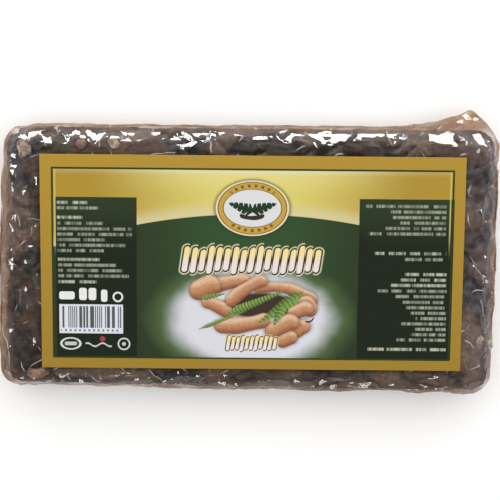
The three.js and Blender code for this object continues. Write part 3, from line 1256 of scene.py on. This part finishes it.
def print_left(sheet):
    """Rows of print, plain bars for the weight, a pattern of stripes and three small marks."""
    u, v = sheet.u, sheet.v
    print_rows(sheet, LEFT_PRINT, 1.0)
    cream = srgb(236, 238, 232)
    for x, y, half_width, half_height in WEIGHT_BARS:
        bar = sheet.outside(PATCH, x, y, half_width, half_height, 0.9)
        sheet.fill(bar, cream)
    ring = sheet.outside(OVAL, -49.9, -13.0, 1.9, 1.9)
    sheet.lay((ring + 0.25).size().rise(0.42, 0.22), cream)
    card = sheet.outside(PATCH, -59.9, -21.4, 11.9, 5.5, 0.0)
    sheet.fill(card, srgb(226, 228, 236))
    on_card = (card + 0.7).rise(0.1, -0.1)
    stripe = chance((u / 0.37).maths("FLOOR")).rise(0.44, 0.46)
    sheet.lay(on_card * v.rise(-24.9, -24.7) * stripe * 0.9, srgb(40, 44, 46))
    ticks = on_card * (v + 25.8).size().rise(0.55, 0.35) * (u * 3.6).maths("SINE").rise(0.1, 0.6)
    sheet.lay(ticks * 0.8, srgb(52, 56, 60))
    for x, half_width in ((-67.6, 3.9), (-47.7, 2.3)):
        ring = sheet.outside(OVAL, x, -30.8, half_width, 2.3)
        sheet.lay((ring + 0.2).size().rise(0.36, 0.16) * 0.85, cream)
        dot = sheet.outside(PATCH, x, -30.8, half_width - 1.6, 0.7, 0.6)
        sheet.lay(dot.rise(0.1, -0.1) * 0.7, cream)
    wave = (v + 31.2 - (u * 1.1).maths("SINE") * 0.6).size().rise(0.42, 0.15)
    sheet.lay(wave * (u + 57.2).size().rise(5.1, 4.7) * 0.8, cream)
    sheet.fill(sheet.outside(OVAL, -55.7, -29.0, 1.0, 1.0), srgb(178, 56, 70))


def print_middle(sheet):
    """The pods on their glow, the two rows of beans and the emblem."""
    print_glow(sheet)
    print_pods(sheet)
    print_fronds(sheet)
    print_bean_row(sheet, -0.2, 1.3, 24.4, 3.05, 5.2, 0.52)
    print_bean_row(sheet, 0.1, -30.1, 8.7, 1.74, 2.95, 0.32)
    print_emblem(sheet)


def print_right(sheet):
    print_rows(sheet, RIGHT_PRINT, -1.0)


def label_material(name, print_part):
    """The label's paper with the common ground and one part of the printed picture."""
    settings = bpy.context.scene.tamarind_label
    material, tree, end, place = new_material(name)
    from_middle = wire(tree, "ShaderNodeVectorMath", place, tuple(LABEL_MIDDLE), operation="SUBTRACT")
    on_label = wire(tree, "ShaderNodeVectorMath", from_middle, (1 / MM, 1 / MM, 0.0), operation="MULTIPLY")
    sheet = Print(tree, on_label, tuple(settings.gold))
    print_ground(sheet, settings)
    print_part(sheet)
    fibre = use(tree, GRAIN, place, 0.0007)
    principled(
        tree,
        end,
        Base_Color=sheet.ink,
        Roughness=fibre["Value"].rise(0.0, 1.0, 0.34, 0.44),
        Normal=bump(tree, fibre["Height"], 0.06, 0.0001),
        Specular_IOR_Level=0.2,
    )
    return material


def label_back_material():
    material, tree, end, place = new_material("label_back")
    fibre = use(tree, GRAIN, place, 0.0006)
    base = mix(tree, fibre["Value"] * 0.2, (0.80, 0.79, 0.75), (0.66, 0.64, 0.60))
    principled(tree, end, Base_Color=base, Roughness=0.7, Normal=bump(tree, fibre["Height"], 0.2, 0.0001))
    return material


class TAMARIND_OT_label(bpy.types.Operator):
    """Make the printed label stuck on the film"""

    bl_idname = "tamarind.label"
    bl_label = "Label"

    def execute(self, context):
        settings = context.scene.tamarind_label
        size = LABEL_HIGH - LABEL_LOW
        place = (LABEL_MIDDLE.x, LABEL_MIDDLE.y, LABEL_LOW.z)
        along, across = LABEL_FACES
        deselect()
        bpy.ops.mesh.primitive_grid_add(x_subdivisions=along, y_subdivisions=across, size=1, location=place)
        label = bpy.context.active_object
        label.name = "printed_label"
        label.scale = (size.x, size.y, 1)
        settle(label)
        points = points_of(label)
        points[:, 2] += (sample(points, WAVE_LENGTH, noise.noise) - 1) * settings.wave
        move_points(label, points)
        parts = (("label_left", print_left), ("label_middle", print_middle), ("label_right", print_right))
        for name, print_part in parts:
            label.data.materials.append(label_material(name, print_part))
        label.data.materials.append(label_back_material())
        for face in label.data.polygons:
            x = (face.center.x - LABEL_MIDDLE.x) / MM
            face.material_index = 1 + (x > RIGHT_PART) - (x < LEFT_PART)
        plain = {"material_offset": len(parts), "material_offset_rim": len(parts)}
        finish_with(label, "SOLIDIFY", thickness=settings.thickness, offset=-1, **plain)
        choose(label)
        bpy.ops.object.shade_smooth_by_angle(angle=math.radians(40))
        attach(label, "root")
        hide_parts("label")
        return {"FINISHED"}


# Stage


# The place in plan that the camera looks at.
AIM = (0.00148, 0.00002)
WARM_WHITE = (1.0, 0.99, 0.97)
COOL_WHITE = (0.80, 0.88, 1.0)
# The lamps that show as glints: name, place, width and height, power and colour.
SOFTBOXES = [
    ("upper_softbox", (-0.05, 0.74, 0.33), (1.1, 0.26), 16.0, WARM_WHITE),
    ("right_window", (0.72, 0.18, 0.42), (0.22, 0.45), 3.4, COOL_WHITE),
    ("left_window", (-0.75, 0.05, 0.46), (0.14, 0.34), 2.2, WARM_WHITE),
    ("lower_strip", (0.05, -0.80, 0.24), (0.5, 0.06), 0.8, WARM_WHITE),
]


def make_world():
    """A dim studio round the slab, so that its film is clear; it is pale only where it is looked at."""
    world = bpy.data.worlds.new("soft_studio")
    bpy.context.scene.world = world
    world.use_nodes = True
    tree = world.node_tree
    tree.nodes.clear()
    end = tree.nodes.new("ShaderNodeOutputWorld")
    x, y, z = wire(tree, "ShaderNodeTexCoord", output=0).parts()
    seen = wire(tree, "ShaderNodeLightPath", output=0)
    glow = z.rise(0.75, 0.97, 0.34, 0.07) + y.rise(0.0, 0.9) * z.rise(0.9, 0.5) * 0.3
    strength = glow.most(seen)
    colour = mix(tree, x.rise(0.2, 0.9), (1.0, 0.97, 0.93), (0.80, 0.87, 1.0))
    colour = mix(tree, seen, colour, (1.0, 1.0, 1.0))
    light = wire(tree, "ShaderNodeBackground", colour, strength)
    tree.links.new(light.socket, end.inputs["Surface"])


def lamp(name, data, place, colour, in_reflections):
    """A lamp that faces the slab and isn't seen itself."""
    data.color = colour
    made = bpy.data.objects.new(name, data)
    bpy.context.scene.collection.objects.link(made)
    made.location = place
    from_slab = Vector(place) - Vector((0, 0, FILM_HEIGHT / 2))
    made.rotation_euler = from_slab.to_track_quat("Z", "Y").to_euler()
    made.visible_camera = False
    made.visible_glossy = in_reflections
    made.visible_diffuse = not in_reflections


def softbox(name, place, size, power, colour):
    """A rectangular lamp that only shows as glints."""
    data = bpy.data.lights.new(name, "AREA")
    data.shape = "RECTANGLE"
    data.size, data.size_y = size
    data.energy = power
    lamp(name, data, place, colour, True)


def fill_light(name, place, strength, spread):
    """Even light from far off that doesn't show as glints."""
    data = bpy.data.lights.new(name, "SUN")
    data.energy = strength
    data.angle = spread
    lamp(name, data, place, (1.0, 0.995, 0.985), False)


def floor_material():
    settings = bpy.context.scene.tamarind_stage
    material, tree, end, place = new_material("pale_floor")
    mottle = use(tree, GRAIN, place, 0.05)
    base = mix(tree, mottle["Value"] * 0.02, tuple(settings.floor), (0.8, 0.8, 0.79))
    principled(tree, end, Base_Color=base, Roughness=0.9, Specular_IOR_Level=0.2)
    return material


class TAMARIND_OT_stage(bpy.types.Operator):
    """Make the floor, the light and the camera"""

    bl_idname = "tamarind.stage"
    bl_label = "Stage"

    def execute(self, context):
        settings = context.scene.tamarind_stage
        deselect()
        bpy.ops.mesh.primitive_circle_add(vertices=96, radius=4, fill_type="NGON", location=(0, 0, 0))
        floor = bpy.context.active_object
        floor.name = "pale_floor"
        floor.data.materials.append(floor_material())
        make_world()
        fill_light("overhead_fill", (0.1, 0.35, 1.0), settings.fill, math.radians(100))
        for name, place, size, power, colour in SOFTBOXES:
            softbox(name, place, size, power, colour)
        aim = Vector((*AIM, FILM_HEIGHT / 2))
        back = Vector((0, math.sin(settings.tilt), math.cos(settings.tilt)))
        camera = bpy.data.objects.new("camera", bpy.data.cameras.new("camera"))
        context.scene.collection.objects.link(camera)
        camera.data.lens = settings.lens
        turn = Matrix.Rotation(settings.roll, 4, back) @ Matrix.Rotation(-settings.tilt, 4, "X")
        camera.matrix_world = Matrix.Translation(aim + back * settings.distance) @ turn
        context.scene.camera = camera
        context.scene.view_settings.view_transform = "Standard"
        return {"FINISHED"}


# Panel and registration


class TAMARIND_PT_panel(bpy.types.Panel):
    """Lists the pieces and their settings"""

    bl_label = "Tamarind block"
    bl_idname = "TAMARIND_PT_panel"
    bl_space_type = "VIEW_3D"
    bl_region_type = "UI"
    bl_category = "Tamarind block"

    def draw(self, context):
        for operator in OPERATORS:
            self.layout.operator(operator.bl_idname)
        for name in SETTINGS:
            box = self.layout.box()
            settings = getattr(context.scene, name)
            for field in settings.__annotations__:
                box.prop(settings, field)


SETTINGS = {
    "tamarind_slab": SlabSettings,
    "tamarind_pulp": PulpSettings,
    "tamarind_film": FilmSettings,
    "tamarind_label": LabelSettings,
    "tamarind_stage": StageSettings,
}
OPERATORS = (
    TAMARIND_OT_stage,
    TAMARIND_OT_pulp,
    TAMARIND_OT_chips,
    TAMARIND_OT_film,
    TAMARIND_OT_label,
)
CLASSES = (*SETTINGS.values(), *OPERATORS, TAMARIND_PT_panel)


def register():
    for kind in CLASSES:
        bpy.utils.register_class(kind)
    for name, kind in SETTINGS.items():
        setattr(bpy.types.Scene, name, PointerProperty(type=kind))


def unregister():
    for name in SETTINGS:
        delattr(bpy.types.Scene, name)
    for kind in reversed(CLASSES):
        bpy.utils.unregister_class(kind)


def main():
    register()
    for operator in OPERATORS:
        family, name = operator.bl_idname.split(".")
        getattr(getattr(bpy.ops, family), name)()
    deselect()


if __name__ == "__main__":
    main()
